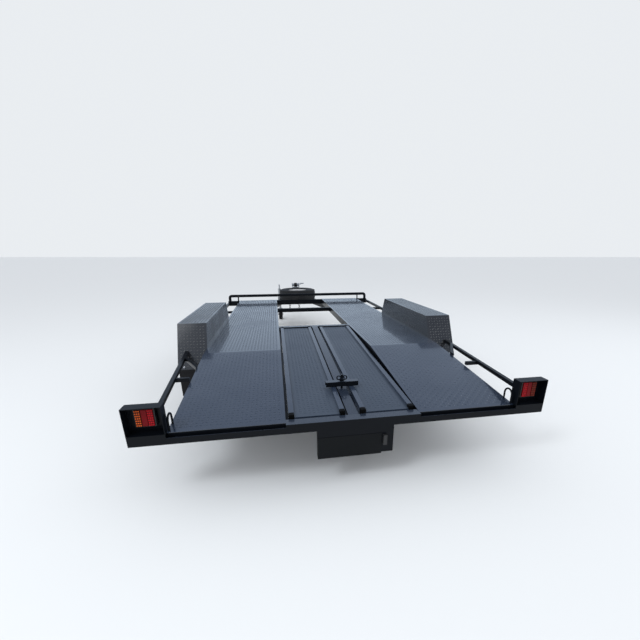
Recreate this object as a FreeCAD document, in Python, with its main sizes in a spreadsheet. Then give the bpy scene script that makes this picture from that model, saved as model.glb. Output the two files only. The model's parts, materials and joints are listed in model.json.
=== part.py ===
import FreeCAD, Part
import math
import os
import re

import Sketcher

# Tandem-axle beaver-tail car trailer, parked on its wheels and its jockey wheel.
# X runs across the trailer, Y towards the coupling, Z up. The origin is on the
# ground, in the middle of the overall box. Lengths are in millimetres.

SIZES = {
    # deck and chassis
    "deck_length": 4270,
    "deck_width": 1980,
    "deck_height": 530,
    "tail_length": 1080,
    "tail_drop": 113,
    "track_gap": 768,
    "plate_gauge": 3,
    "rail_width": 50,
    "rail_depth": 75,
    "tail_rail_depth": 55,
    "overall_width": 2450,
    "member_width": 50,
    "member_depth": 50,
    "front_beam_reach": 1175,
    # rear beam
    "rear_overhang": 26,
    "beam_reach": 1175,
    "beam_front": 36,
    "beam_depth": 55,
    "beam_wall": 3,
    "catch_lip_drop": 18,
    # light boxes and lamps
    "light_box_depth": 62,
    "light_box_height": 155,
    "light_box_wall": 3,
    "lamp_width": 104,
    "lamp_height": 108,
    "lamp_body_depth": 24,
    "lamp_inset": 40,
    "lamp_rise": 35,
    # number plate
    "bracket_left": 217,
    "bracket_right": 225,
    "bracket_drop": 170,
    "bracket_depth": 34,
    "number_plate_width": 372,
    "number_plate_height": 134,
    "number_plate_gauge": 2,
    "number_plate_drop": 8,
    "plate_lamp_width": 22,
    "plate_lamp_height": 62,
    "plate_lamp_depth": 18,
    # tie-down loops
    "loop_bar": 5.5,
    "loop_width": 66,
    "loop_height": 84,
    "loop_inset": 10,
    "loop_start": 14,
    # side rails
    "side_tube": 25,
    "side_rail_drop": 24,
    "side_rail_rear_reach": 1038,
    "side_rail_guard_reach": 1150,
    "stub_place": 569,
    "stub_drop": 8,
    "brace_place": 760,
    "brace_margin": 40,
    "guard_gap": 0.5,
    "front_tube": 30,
    "front_rail_reach": 1160,
    "front_rail_drop": 20,
    "front_stub_place": 3300,
    # headboard
    "headboard_rise": 78,
    "headboard_reach": 1146,
    "headboard_bar": 22,
    "headboard_bend": 32,
    "inner_post": 10,
    "inner_post_reach": 1012,
    # mudguards
    "guard_rear": 1335,
    "guard_front": 2611,
    "guard_rise": 195,
    "guard_drop": 154,
    "guard_slope_run": 184,
    "guard_lip": 40,
    "flap_inset": 4,
    "flap_width": 227,
    "flap_setback": 4,
    "flap_hem": 24,
    "flap_drop": 235,
    "flap_gauge": 5,
    # ramps
    "ramp_start": 46,
    "ramp_end": 1955,
    "ramp_inner": 46,
    "ramp_outer": 366,
    "ramp_rail_width": 30,
    "ramp_depth": 50,
    "ramp_rise_rear": 21,
    "ramp_rise_front": 6,
    "ramp_recess": 16,
    "ramp_panel_gauge": 4,
    "ramp_rung": 30,
    "slide_gauge": 12,
    "slide_clearance": 1,
    "bearer_half": 30,
    "rod_clearance": 1,
    "crossbar_place": 1966,
    "crossbar_width": 62,
    "clamp_place": 392,
    "clamp_half": 108,
    "clamp_width": 42,
    "clamp_rise": 32,
    "clamp_wall": 5,
    "clamp_nut": 15,
    "clamp_nut_height": 16,
    "clamp_ear": 13,
    "clamp_ear_bar": 4,
    "clamp_ear_reach": 20,
    "clamp_ear_rise": 22,
    "clamp_rod": 7,
    "clamp_rod_above": 46,
    "clamp_rod_below": 62,
    # drawbar
    "drawbar_start": 3200,
    "drawbar_nose": 5950,
    "drawbar_slope": 0.25,
    "drawbar_inner_nose": 36,
    "drawbar_leg": 51.5,
    "drawbar_depth": 100,
    "nose_plate_gauge": 8,
    "nose_plate_length": 260,
    "nose_plate_half": 98,
    # coupling
    "coupling_reach": 1780,
    "ball_radius": 25,
    "ball_clearance": 0.3,
    "socket_outer": 38,
    "socket_depth": 40,
    "coupling_half": 32,
    "coupling_height": 56,
    "coupling_length": 330,
    "coupling_wall": 4,
    "head_height": 70,
    "crown_rise": 6,
    "lever_half": 12,
    "lever_gauge": 12,
    "lever_length": 150,
    "grip_half": 17,
    "grip_length": 40,
    # spare wheel
    "spare_place": 4750,
    "carrier_bar": 20,
    "carrier_width": 60,
    "carrier_spread": 150,
    "stud_radius": 12,
    # winch
    "winch_place": 5250,
    "winch_post_half": 58,
    "winch_post_depth": 30,
    "winch_post_wall": 6,
    "winch_height": 190,
    "winch_half": 70,
    "winch_gauge": 6,
    "winch_back": 52,
    "winch_front": 48,
    "cheek_height": 82,
    "drum_rise": 46,
    "winch_drum": 26,
    "shaft_radius": 7,
    "shaft_place": 30,
    "shaft_rise": 60,
    "shaft_reach": 40,
    "winch_crank": 16,
    "winch_crank_length": 180,
    "winch_crank_gauge": 8,
    "winch_handle": 10,
    "winch_handle_length": 72,
    # running gear
    "axle_place": 1971,
    "axle_spacing": 760,
    "wheel_track": 1110,
    "tyre_radius": 325,
    "tyre_width": 185,
    "tyre_wall": 11,
    "bead_clearance": 0.3,
    "rim_seat": 178,
    "rim_flange": 189,
    "rim_half": 66,
    "rim_gauge": 6,
    "disc_gauge": 7,
    "disc_offset": 8,
    "hub_radius": 38,
    "hub_inboard": 62,
    "hub_outboard": 40,
    "hub_cap": 8,
    "stub_radius": 17.5,
    "stub_clearance": 0.08,
    "axle_beam": 45,
    "axle_half": 1012,
    "spring_width": 45,
    "spring_gauge": 18,
    "spring_half": 315,
    "spring_camber": 46,
    "spring_inset": 2,
    "hanger_width": 46,
    # jockey wheel
    "jockey_place": 5400,
    "jockey_reach": 318,
    "jockey_tube": 28,
    "jockey_inner_tube": 22,
    "jockey_gap": 0.3,
    "jockey_top": 150,
    "jockey_crown_gap": 8,
    "fork_crown_gauge": 8,
    "inner_foot": 12,
    "swivel_gap": 0.4,
    "jockey_travel": 140,
    "jockey_engage": 95,
    "jockey_wheel_radius": 100,
    "jockey_wheel_half": 36,
    "jockey_trail": 38,
    "jockey_bore": 8,
    "fork_gap": 6,
    "fork_gauge": 6,
    "crank_arm": 100,
    "crank_hub": 16,
    "crank_hub_height": 14,
    "crank_gauge": 8,
    "crank_knob": 12,
    "crank_knob_length": 66,
}

doc = FreeCAD.newDocument("car_trailer")
sheet = doc.addObject("Spreadsheet::Sheet", "Size")
for row, (alias, value) in enumerate(SIZES.items(), start=1):
    sheet.set(f"A{row}", alias)
    sheet.set(f"B{row}", str(value))
    sheet.setAlias(f"B{row}", alias)
doc.recompute()

NODES = {}

# Places that several pieces share, written with the names in the sheet.
OVERALL = "(plate_lamp_depth + rear_overhang + deck_length + coupling_reach + socket_outer)"
REAR = f"(plate_lamp_depth + rear_overhang - {OVERALL} / 2)"
FRONT = f"({REAR} + deck_length)"
BREAK = f"({REAR} + tail_length)"
BALL = f"({FRONT} + coupling_reach)"
HALF = "(deck_width / 2)"
UNDER = "(deck_height - plate_gauge)"
FRAME_LOW = f"({UNDER} - rail_depth)"
TAIL = "(deck_height - tail_drop)"
BEAM_LOW = f"({TAIL} - beam_depth)"


def sized(text):
    """Point every sheet name in an expression at its cell."""
    def cell(match):
        word = match.group(0)
        return f"Size.{word}" if word in SIZES else word
    return re.sub(r"[A-Za-z_][A-Za-z_0-9]*", cell, str(text))


def bind(item, **properties):
    """Bind properties such as Length or Base_x to expressions."""
    for name, text in properties.items():
        if name.startswith("Base_"):
            item.setExpression(f"Placement.Base.{name[-1]}", sized(text))
        else:
            item.setExpression(name, sized(text))
    return item


def turned(item, axis, angle):
    item.Placement = FreeCAD.Placement(FreeCAD.Vector(), FreeCAD.Rotation(FreeCAD.Vector(*axis), angle))
    return item


def box(name, across, along, up):
    """A block between a low and a high expression on each axis."""
    item = doc.addObject("Part::Box", name)
    bind(item, Length=f"({across[1]}) - ({across[0]})", Width=f"({along[1]}) - ({along[0]})",
         Height=f"({up[1]}) - ({up[0]})", Base_x=across[0], Base_y=along[0], Base_z=up[0])
    return item


TURNS = {"X": ((0, 1, 0), 90), "Y": ((1, 0, 0), -90), "Z": ((0, 0, 1), 0)}


def rod(name, way, start, radius, length):
    """A cylinder that runs from start towards +X, +Y or +Z."""
    item = turned(doc.addObject("Part::Cylinder", name), *TURNS[way])
    return bind(item, Radius=radius, Height=length, Base_x=start[0], Base_y=start[1], Base_z=start[2])


def ring(name, turn, centre, radius, bar, sweep=360):
    """A torus, or a part of one, turned by an (axis, angle) pair."""
    item = turned(doc.addObject("Part::Torus", name), *turn)
    item.Angle3 = sweep
    return bind(item, Radius1=radius, Radius2=bar, Base_x=centre[0], Base_y=centre[1], Base_z=centre[2])


def cut(name, base, tool):
    item = doc.addObject("Part::Cut", name)
    item.Base = base
    item.Tool = tool
    return item


def fuse(name, items):
    item = doc.addObject("Part::MultiFuse", name)
    item.Shapes = items
    return item


def group(name, items):
    item = doc.addObject("Part::Compound", name)
    item.Links = items
    return item


def mirrored(name, source):
    """The same piece on the other side of the trailer."""
    item = doc.addObject("Part::Mirroring", name)
    item.Source = source
    item.Normal = FreeCAD.Vector(1, 0, 0)
    return item


def outline(body, name, plane, points):
    """A closed sketch whose corners are all bound to expressions."""
    sketch = body.newObject("Sketcher::SketchObject", name)
    faces = [item for item in body.Origin.OriginFeatures if item.Role == plane]
    sketch.AttachmentSupport = [(faces[0], "")]
    sketch.MapMode = "FlatFace"
    doc.recompute()
    values = [[float(sketch.evalExpression(sized(text))) for text in point] for point in points]
    count = len(points)
    for index in range(count):
        start = FreeCAD.Vector(*values[index], 0)
        end = FreeCAD.Vector(*values[(index + 1) % count], 0)
        sketch.addGeometry(Part.LineSegment(start, end), False)
    for index in range(count):
        sketch.addConstraint(Sketcher.Constraint("Coincident", index, 2, (index + 1) % count, 1))
    for index, point in enumerate(points):
        for way, text, value in zip(("DistanceX", "DistanceY"), point, values[index]):
            number = sketch.addConstraint(Sketcher.Constraint(way, index, 1, value))
            sketch.setExpression(f"Constraints[{number}]", sized(text))
    return sketch


def profile(name, plane, points, low, high):
    """A padded outline: YZ_Plane pads along X, XY_Plane along Z."""
    body = doc.addObject("PartDesign::Body", name)
    sketch = outline(body, f"{name}_sketch", plane, points)
    pad = body.newObject("PartDesign::Pad", f"{name}_pad")
    pad.Profile = sketch
    bind(pad, Length=f"({high}) - ({low})")
    sketch.Visibility = False
    way = {"YZ_Plane": "Base_x", "XY_Plane": "Base_z"}[plane]
    return bind(body, **{way: low})


def turning(name, points, centre, face_out):
    """A wheel piece: its outline (across, radius) spun about the X axis."""
    body = doc.addObject("PartDesign::Body", name)
    sketch = outline(body, f"{name}_sketch", "XY_Plane", points)
    spin = body.newObject("PartDesign::Revolution", f"{name}_spin")
    spin.Profile = sketch
    spin.ReferenceAxis = (sketch, ["H_Axis"])
    spin.Angle = 360
    turned(body, *face_out)
    return bind(body, Base_x=centre[0], Base_y=centre[1], Base_z=centre[2])


def node(name, item):
    item.Label = name
    NODES[name] = item
    return item


def tail_at(place, below=0):
    """Height of the tail's top surface at a place along the trailer."""
    return f"(deck_height - ({below}) - tail_drop * (1 - (({place}) - {REAR}) / tail_length))"


SIDES = {"left": -1, "right": 1}
RUNGS = 7


def across(sign, low, high):
    """An X range on the right (1), or its mirror on the left (-1)."""
    return (low, high) if sign > 0 else (f"-({high})", f"-({low})")


# ---------------------------------------------------------------- chassis

def long_rail(name, low, high):
    start = f"({REAR} + beam_front)"
    end = f"({FRONT} - rail_width)"
    points = [
        (start, f"{tail_at(start, 'plate_gauge')} - tail_rail_depth"),
        (BREAK, FRAME_LOW),
        (end, FRAME_LOW),
        (end, UNDER),
        (BREAK, UNDER),
        (start, tail_at(start, "plate_gauge")),
    ]
    return profile(name, "YZ_Plane", points, low, high)


def chassis_rails():
    for side, sign in SIDES.items():
        low, high = across(sign, f"{HALF} - rail_width", HALF)
        node(f"outer_rail_{side}", long_rail(f"outer_rail_{side}", low, high))
        low, high = across(sign, "track_gap / 2", "track_gap / 2 + rail_width")
        node(f"inner_rail_{side}", long_rail(f"inner_rail_{side}", low, high))


def ramp_top(place):
    """Top edge of a stowed ramp, which lies as a straight chord over the bend."""
    rear = f"({TAIL} + ramp_rise_rear)"
    front = "(deck_height + ramp_rise_front)"
    share = f"((({place}) - {REAR} - ramp_start) / (ramp_end - ramp_start))"
    return f"({rear} + ({front} - {rear}) * {share})"


def cross_members():
    """Members under both tracks, and those that cross the open middle."""
    items = []
    for index, share in enumerate((0.13, 0.5, 0.66, 0.84)):
        # Flat part: shares of the way from the bend to the front beam.
        place = f"({BREAK} + (deck_length - tail_length) * {share})"
        along = (place, f"{place} + member_width")
        up = (f"{UNDER} - member_depth", UNDER)
        for side, sign in SIDES.items():
            inner = across(sign, "track_gap / 2 + rail_width", f"{HALF} - rail_width")
            items.append(box(f"track_member_{side}_{index}", inner, along, up))
    middle = ("-track_gap / 2", "track_gap / 2")
    place = f"({REAR} + front_stub_place)"
    items.append(box("gap_member", middle, (f"{place} - member_width / 2", f"{place} + member_width / 2"),
                     (f"{UNDER} - member_depth", UNDER)))
    bar = f"({REAR} + crossbar_place)"
    items.append(box("ramp_crossbar", middle, (bar, f"{bar} + crossbar_width"), (FRAME_LOW, "deck_height")))
    for index, place in enumerate(("stub_place", "tail_length")):
        start = f"({REAR} + {place} - member_width / 2)"
        top = f"({ramp_top(start)} - ramp_depth)"
        items.append(box(f"ramp_bearer_{index}", middle, (start, f"{start} + member_width"),
                         (f"{top} - member_depth / 2", top)))
        for side, sign in SIDES.items():
            inner = across(sign, "track_gap / 2 + rail_width", f"{HALF} - rail_width")
            level = tail_at(start, "plate_gauge")
            items.append(box(f"tail_member_{side}_{index}", inner, (start, f"{start} + member_width"),
                             (f"{level} - tail_rail_depth", level)))
    # Flat bars in the slots beside the ramps, on the bearers and the inner rails.
    for side, sign in SIDES.items():
        low, high = across(sign, "ramp_outer + slide_clearance", "track_gap / 2")
        items.append(ramp_profile(f"ramp_slide_{side}", low, high, "ramp_depth - slide_gauge", "ramp_depth",
                                  "ramp_start", "crossbar_place"))
    return node("cross_members", group("cross_members", items))


def rear_beam():
    """Box beam under the tail edge, with a lip behind it that the ramps hook on to."""
    level = f"({TAIL} - plate_gauge)"
    reach = ("-beam_reach", "beam_reach")
    outer = box("beam_outer", reach, (REAR, f"{REAR} + beam_front"), (BEAM_LOW, level))
    inner = box("beam_inner", ("-beam_reach - 1", "beam_reach + 1"),
                (f"{REAR} + beam_wall", f"{REAR} + beam_front - beam_wall"),
                (f"{BEAM_LOW} + beam_wall", f"{level} - beam_wall"))
    tube = cut("beam_tube", outer, inner)
    back = f"({REAR} - rear_overhang)"
    lip = box("catch_lip", reach, (back, f"{back} + beam_wall"), (BEAM_LOW, f"{TAIL} - catch_lip_drop"))
    floor = box("catch_floor", reach, (back, f"{REAR} + beam_wall"), (BEAM_LOW, f"{BEAM_LOW} + beam_wall"))
    cap = box("centre_cap", ("-track_gap / 2", "track_gap / 2"), (back, f"{REAR} + beam_front"),
              (f"{BEAM_LOW} + beam_wall", TAIL))
    hollow = box("centre_hollow", ("-track_gap / 2 + beam_wall", "track_gap / 2 - beam_wall"),
                 (f"{back} + beam_wall", f"{REAR} + beam_front - beam_wall"),
                 (f"{BEAM_LOW} + beam_wall", f"{TAIL} - beam_wall"))
    ends = []
    for side, sign in SIDES.items():
        end = across(sign, HALF, "beam_reach")
        ends.append(box(f"beam_end_{side}", end, (back, f"{REAR} + beam_front"),
                        (f"{TAIL} - plate_gauge", TAIL)))
        ends.append(box(f"beam_end_face_{side}", end, (back, f"{back} + beam_wall"),
                        (f"{TAIL} - catch_lip_drop", f"{TAIL} - plate_gauge")))
    centre = cut("centre_shell", cap, hollow)
    return node("rear_beam", fuse("rear_beam", [tube, lip, floor, centre] + ends))


def front_beam():
    along = (f"{FRONT} - rail_width", FRONT)
    outer = box("front_outer", ("-front_beam_reach", "front_beam_reach"), along, (FRAME_LOW, UNDER))
    inner = box("front_inner", ("-front_beam_reach - 1", "front_beam_reach + 1"),
                (f"{FRONT} - rail_width + beam_wall", f"{FRONT} - beam_wall"),
                (f"{FRAME_LOW} + beam_wall", f"{UNDER} - beam_wall"))
    return node("front_beam", cut("front_beam", outer, inner))


def deck_plates():
    """Checker plate on each wheel track, folded down at the tail."""
    for side, sign in SIDES.items():
        low, high = across(sign, "track_gap / 2", HALF)
        points = [
            (REAR, f"{TAIL} - plate_gauge"),
            (BREAK, UNDER),
            (FRONT, UNDER),
            (FRONT, "deck_height"),
            (BREAK, "deck_height"),
            (REAR, TAIL),
        ]
        node(f"deck_{side}", profile(f"deck_{side}", "YZ_Plane", points, low, high))


# ---------------------------------------------------------------- rear end

def light_boxes():
    back = f"({REAR} - rear_overhang)"
    top = f"({TAIL} + light_box_height)"
    wall = "light_box_wall"
    for side, sign in SIDES.items():
        shell = box(f"light_shell_{side}", across(sign, HALF, "beam_reach"),
                    (back, f"{back} + light_box_depth"), (TAIL, top))
        hollow = box(f"light_hollow_{side}", across(sign, f"{HALF} + {wall}", f"beam_reach - {wall}"),
                     (f"{back} - 1", f"{back} + light_box_depth - {wall}"),
                     (f"{TAIL} + {wall}", f"{top} - {wall}"))
        node(f"light_box_{side}", cut(f"light_box_{side}", shell, hollow))
        start = f"({HALF} + lamp_inset)"
        rest = f"({back} + light_box_depth - {wall})"
        lamp = box(f"tail_lamp_{side}", across(sign, start, f"{start} + lamp_width"),
                   (f"{rest} - lamp_body_depth", rest),
                   (f"{TAIL} + lamp_rise", f"{TAIL} + lamp_rise + lamp_height"))
        node(f"tail_lamp_{side}", lamp)


def number_plate():
    back = f"({REAR} - rear_overhang)"
    low = f"({BEAM_LOW} - bracket_drop)"
    outer = box("bracket_outer", ("-bracket_left", "bracket_right"), (back, f"{back} + bracket_depth"),
                (low, BEAM_LOW))
    inner = box("bracket_inner", ("-bracket_left + beam_wall", "bracket_right - beam_wall"),
                (f"{back} + beam_wall", f"{back} + bracket_depth + 1"),
                (f"{low} - 1", f"{BEAM_LOW} - beam_wall"))
    node("plate_bracket", cut("plate_bracket", outer, inner))
    base = f"({low} - number_plate_drop)"
    plate = box("number_plate", ("-bracket_left", "-bracket_left + number_plate_width"),
                (f"{back} - number_plate_gauge", back), (base, f"{base} + number_plate_height"))
    node("number_plate", plate)
    side = "(-bracket_left + number_plate_width + 6)"
    lamp_low = f"({low} + bracket_drop / 2 - plate_lamp_height / 2)"
    lamp = box("plate_lamp", (side, f"{side} + plate_lamp_width"), (f"{back} - plate_lamp_depth", back),
               (lamp_low, f"{lamp_low} + plate_lamp_height"))
    node("plate_lamp", lamp)


def tie_down_loops():
    """Round-bar staples welded to the tail beside the light boxes."""
    parts = []
    base = f"({REAR} + loop_start)"
    bend = "(loop_width / 2)"
    crown = f"({TAIL} + loop_height - loop_width / 2)"
    # Half a ring in the YZ plane, over the two legs.
    turn = FreeCAD.Rotation(FreeCAD.Vector(0, 0, 1), 90) * FreeCAD.Rotation(FreeCAD.Vector(1, 0, 0), 90)
    upright = (tuple(turn.Axis), math.degrees(turn.Angle))
    for side, sign in SIDES.items():
        spot = f"({HALF} - loop_inset)" if sign > 0 else f"-({HALF} - loop_inset)"
        bits = []
        for leg, shift in enumerate(("0", "loop_width")):
            foot = f"({base} + {shift})"
            # The tail slopes, so each leg starts at the deck under it.
            level = tail_at(f"{foot} + loop_bar")
            bits.append(rod(f"loop_leg_{side}_{leg}", "Z", (spot, foot, level), "loop_bar",
                            f"{crown} - {level}"))
        arch = ring(f"loop_arch_{side}", upright, (spot, f"{base} + {bend}", crown), bend, "loop_bar", 180)
        parts.append(fuse(f"loop_{side}", bits + [arch]))
    return node("tie_down_loops", group("tie_down_loops", parts))


# ---------------------------------------------------------------- side rails

def side_rails():
    """Square tubes outside the tail, from the light boxes to the mudguards."""
    back = f"({REAR} - rear_overhang + light_box_depth)"
    # The rail's lower edge meets the mudguard's sloping face first.
    fall = "(guard_rise + side_rail_drop + side_tube / 2 + guard_gap)"
    guard = f"({REAR} + guard_rear - guard_slope_run * {fall} / (guard_rise + guard_drop))"
    low = "(deck_height - side_rail_drop - side_tube / 2)"
    lean = f"((side_rail_guard_reach - side_rail_rear_reach) / ({guard} - {back}))"

    def reach_at(place):
        return f"(side_rail_rear_reach + {lean} * (({place}) - {back}))"

    half = "(side_tube / 2)"
    points = [
        (f"{reach_at(back)} - {half}", back),
        (f"{reach_at(back)} + {half}", back),
        (f"{reach_at(guard)} + {half}", guard),
        (f"{reach_at(guard)} - {half}", guard),
    ]
    tube = profile("side_tube_right", "XY_Plane", points, low, f"{low} + side_tube")
    stub = f"({REAR} + stub_place)"
    stub_box = box("side_stub_right", (HALF, reach_at(stub)),
                   (f"{stub} - {half}", f"{stub} + {half}"),
                   (f"{low} - stub_drop", f"{low} + side_tube - stub_drop"))
    brace = f"({REAR} + brace_place)"
    reach = f"({REAR} + tail_length - brace_margin)"
    # The brace runs at a slant, so it is cut twice its own width along Y.
    points = [
        (HALF, brace),
        (reach_at(reach), reach),
        (reach_at(reach), f"{reach} + 2 * side_tube"),
        (HALF, f"{brace} + 2 * side_tube"),
    ]
    arm = profile("side_brace_right", "XY_Plane", points, low, f"{low} + side_tube")
    right = fuse("side_rail_rear_right", [tube, stub_box, arm])
    node("side_rail_rear_right", right)
    node("side_rail_rear_left", mirrored("side_rail_rear_left", right))


def front_side_rails():
    half = "(front_tube / 2)"
    fall = "(guard_rise + front_rail_drop + front_tube + guard_gap)"
    slope = f"(guard_slope_run * {fall} / (guard_rise + guard_drop))"
    start = f"({REAR} + guard_front + {slope})"
    end = f"({FRONT} - rail_width)"
    low = "(deck_height - front_rail_drop - front_tube)"
    tube = box("front_tube_right", (f"front_rail_reach - {half}", f"front_rail_reach + {half}"),
               (start, end), (low, f"{low} + front_tube"))
    stub = f"({REAR} + front_stub_place)"
    stub_box = box("front_stub_right", (HALF, "front_rail_reach"), (f"{stub} - {half}", f"{stub} + {half}"),
                   (low, f"{low} + front_tube"))
    right = fuse("side_rail_front_right", [tube, stub_box])
    node("side_rail_front_right", right)
    node("side_rail_front_left", mirrored("side_rail_front_left", right))


def headboard():
    place = f"({FRONT} - rail_width / 2)"
    bar = "headboard_bar"
    level = "(deck_height + headboard_rise)"
    straight = "(headboard_reach - headboard_bend)"
    items = [rod("headboard_bar_tube", "X", (f"-{straight}", place, level), bar, f"2 * {straight}")]
    foot = UNDER
    for side, sign in SIDES.items():
        post = "headboard_reach" if sign > 0 else "-headboard_reach"
        items.append(rod(f"headboard_post_{side}", "Z", (post, place, foot), bar,
                         f"{level} - headboard_bend - {foot}"))
        stand = FreeCAD.Rotation(FreeCAD.Vector(1, 0, 0), 90)
        turn = stand if sign > 0 else FreeCAD.Rotation(FreeCAD.Vector(0, 0, 1), 180) * stand
        spot = straight if sign > 0 else f"-{straight}"
        items.append(ring(f"headboard_bend_{side}", (tuple(turn.Axis), math.degrees(turn.Angle)),
                          (spot, place, f"{level} - headboard_bend"), "headboard_bend", bar, 90))
        inner = "inner_post_reach" if sign > 0 else "-inner_post_reach"
        items.append(rod(f"headboard_inner_{side}", "Z", (inner, place, foot), "inner_post",
                         f"{level} - {foot}"))
    return node("headboard", fuse("headboard", items))


# ---------------------------------------------------------------- mudguards

def guard_points(inset, foot="0"):
    """Mudguard outline in the YZ plane, drawn in by an inset."""
    # The sloping ends move sideways by the inset times this factor.
    factor = "(sqrt(1 + (guard_slope_run / (guard_rise + guard_drop)) ^ 2))"
    top = f"(deck_height + guard_rise - ({inset}))"
    low = f"(deck_height - guard_drop + ({foot}))"
    slope = "(guard_slope_run / (guard_rise + guard_drop))"
    rear_top = f"({REAR} + guard_rear - {slope} * ({inset}) + ({inset}) * {factor})"
    front_top = f"({REAR} + guard_front + {slope} * ({inset}) - ({inset}) * {factor})"
    run = f"({slope} * ({top} - {low}))"
    return [
        (f"{rear_top} - {run}", low),
        (f"{front_top} + {run}", low),
        (front_top, top),
        (rear_top, top),
    ]


def mudguards():
    gauge = "plate_gauge"
    outer_face = "overall_width / 2"
    shell = profile("guard_shell", "YZ_Plane", guard_points("0"), HALF, outer_face)
    hollow = profile("guard_hollow", "YZ_Plane", guard_points(gauge, "-1"), f"{HALF} + {gauge}",
                     f"{outer_face} - {gauge}")
    window = profile("guard_window", "YZ_Plane", guard_points("guard_lip", "-1"),
                     f"{outer_face} - 2 * {gauge}", f"{outer_face} + 1")
    right = cut("mudguard_right", cut("guard_open", shell, hollow), window)
    node("mudguard_right", right)
    node("mudguard_left", mirrored("mudguard_left", right))
    foot = f"({REAR} + guard_rear - guard_slope_run)"
    edge = "(deck_height - guard_drop)"
    start = f"({HALF} + flap_inset)"
    face = f"({foot} + plate_gauge + flap_setback)"
    for side, sign in SIDES.items():
        width = across(sign, start, f"{start} + flap_width")
        flap = box(f"flap_sheet_{side}", width, (face, f"{face} + flap_gauge"),
                   (f"{edge} - flap_drop", f"{edge} - guard_gap"))
        hem = box(f"flap_hem_{side}", width, (f"{foot} + plate_gauge", f"{face} + flap_gauge"),
                  (f"{edge} - flap_hem", f"{edge} - guard_gap"))
        node(f"mudflap_{side}", fuse(f"mudflap_{side}", [flap, hem]))


# ---------------------------------------------------------------- ramps

def ramp_profile(name, low, high, drop_top, drop_low, start="ramp_start", end="ramp_end"):
    first = f"({REAR} + {start})"
    last = f"({REAR} + {end})"
    points = [
        (first, f"{ramp_top(first)} - ({drop_low})"),
        (last, f"{ramp_top(last)} - ({drop_low})"),
        (last, f"{ramp_top(last)} - ({drop_top})"),
        (first, f"{ramp_top(first)} - ({drop_top})"),
    ]
    return profile(name, "YZ_Plane", points, low, high)


def ramps():
    """Loading ramps stowed in the middle: two side rails, a tread panel and rungs."""
    rail = "ramp_rail_width"
    inner = ramp_profile("ramp_rail_inner", "ramp_inner", f"ramp_inner + {rail}", "0", "ramp_depth")
    outer = ramp_profile("ramp_rail_outer", f"ramp_outer - {rail}", "ramp_outer", "0", "ramp_depth")
    panel = ramp_profile("ramp_panel", f"ramp_inner + {rail}", f"ramp_outer - {rail}", "ramp_recess",
                         "ramp_recess + ramp_panel_gauge")
    rungs = []
    for index in range(RUNGS):
        first = f"ramp_start + (ramp_end - ramp_start - ramp_rung) * {index} / {RUNGS - 1}"
        rungs.append(ramp_profile(f"ramp_rung_{index}", f"ramp_inner + {rail}", f"ramp_outer - {rail}",
                                  "ramp_recess + ramp_panel_gauge", "ramp_depth", first,
                                  f"({first} + ramp_rung)"))
    right = fuse("ramp_right", [inner, outer, panel] + rungs)
    node("ramp_right", right)
    node("ramp_left", mirrored("ramp_left", right))


def centre_bearer():
    start = f"({REAR} + beam_front)"
    end = f"({REAR} + crossbar_place)"
    points = [
        (start, f"{ramp_top(start)} - ramp_depth"),
        (end, f"{ramp_top(end)} - ramp_depth"),
        (end, "deck_height"),
        (start, TAIL),
    ]
    strip = profile("bearer_web", "YZ_Plane", points, "-bearer_half", "bearer_half")
    # A wider foot fills the slots beside the ramps' inner rails.
    foot = ramp_profile("bearer_foot", "-(ramp_inner - slide_clearance)", "ramp_inner - slide_clearance",
                        "ramp_depth - slide_gauge", "ramp_depth", "ramp_start", "crossbar_place")
    place = f"({REAR} + clamp_place)"
    hole = rod("bearer_hole", "Z", ("0", place, BEAM_LOW), "clamp_rod + rod_clearance", "deck_height")
    bearer = fuse("bearer_solid", [strip, foot])
    return node("centre_bearer", cut("centre_bearer", bearer, hole))


def ramp_clamp():
    """Channel across both inner ramp rails, pulled down by a threaded rod and a wing nut."""
    place = f"({REAR} + clamp_place)"
    level = ramp_top(f"{place} + clamp_width / 2")
    half = "(clamp_width / 2)"
    top = box("clamp_top", ("-clamp_half", "clamp_half"), (f"{place} - {half}", f"{place} + {half}"),
              (level, f"{level} + clamp_rise"))
    slot = box("clamp_slot", ("-clamp_half - 1", "clamp_half + 1"),
               (f"{place} - {half} + clamp_wall", f"{place} + {half} - clamp_wall"),
               (f"{level} - 1", f"{level} + clamp_rise - clamp_wall"))
    channel = cut("clamp_channel", top, slot)
    stem = rod("clamp_rod_bar", "Z", ("0", place, f"{level} - clamp_rod_below"), "clamp_rod",
               f"clamp_rod_below + clamp_rise + clamp_rod_above")
    boss = rod("clamp_boss", "Z", ("0", place, f"{level} + clamp_rise"), "clamp_nut", "clamp_nut_height")
    ears = []
    for side, sign in SIDES.items():
        spot = "clamp_ear_reach" if sign > 0 else "-clamp_ear_reach"
        ears.append(ring(f"clamp_ear_{side}", ((1, 0, 0), 90),
                         (spot, place, f"{level} + clamp_rise + clamp_ear_rise"), "clamp_ear",
                         "clamp_ear_bar"))
    return node("ramp_clamp", fuse("ramp_clamp", [channel, stem, boss] + ears))


# ---------------------------------------------------------------- drawbar

def leg_inner(place):
    return f"(drawbar_inner_nose + drawbar_slope * ({REAR} + drawbar_nose - ({place})))"


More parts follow.
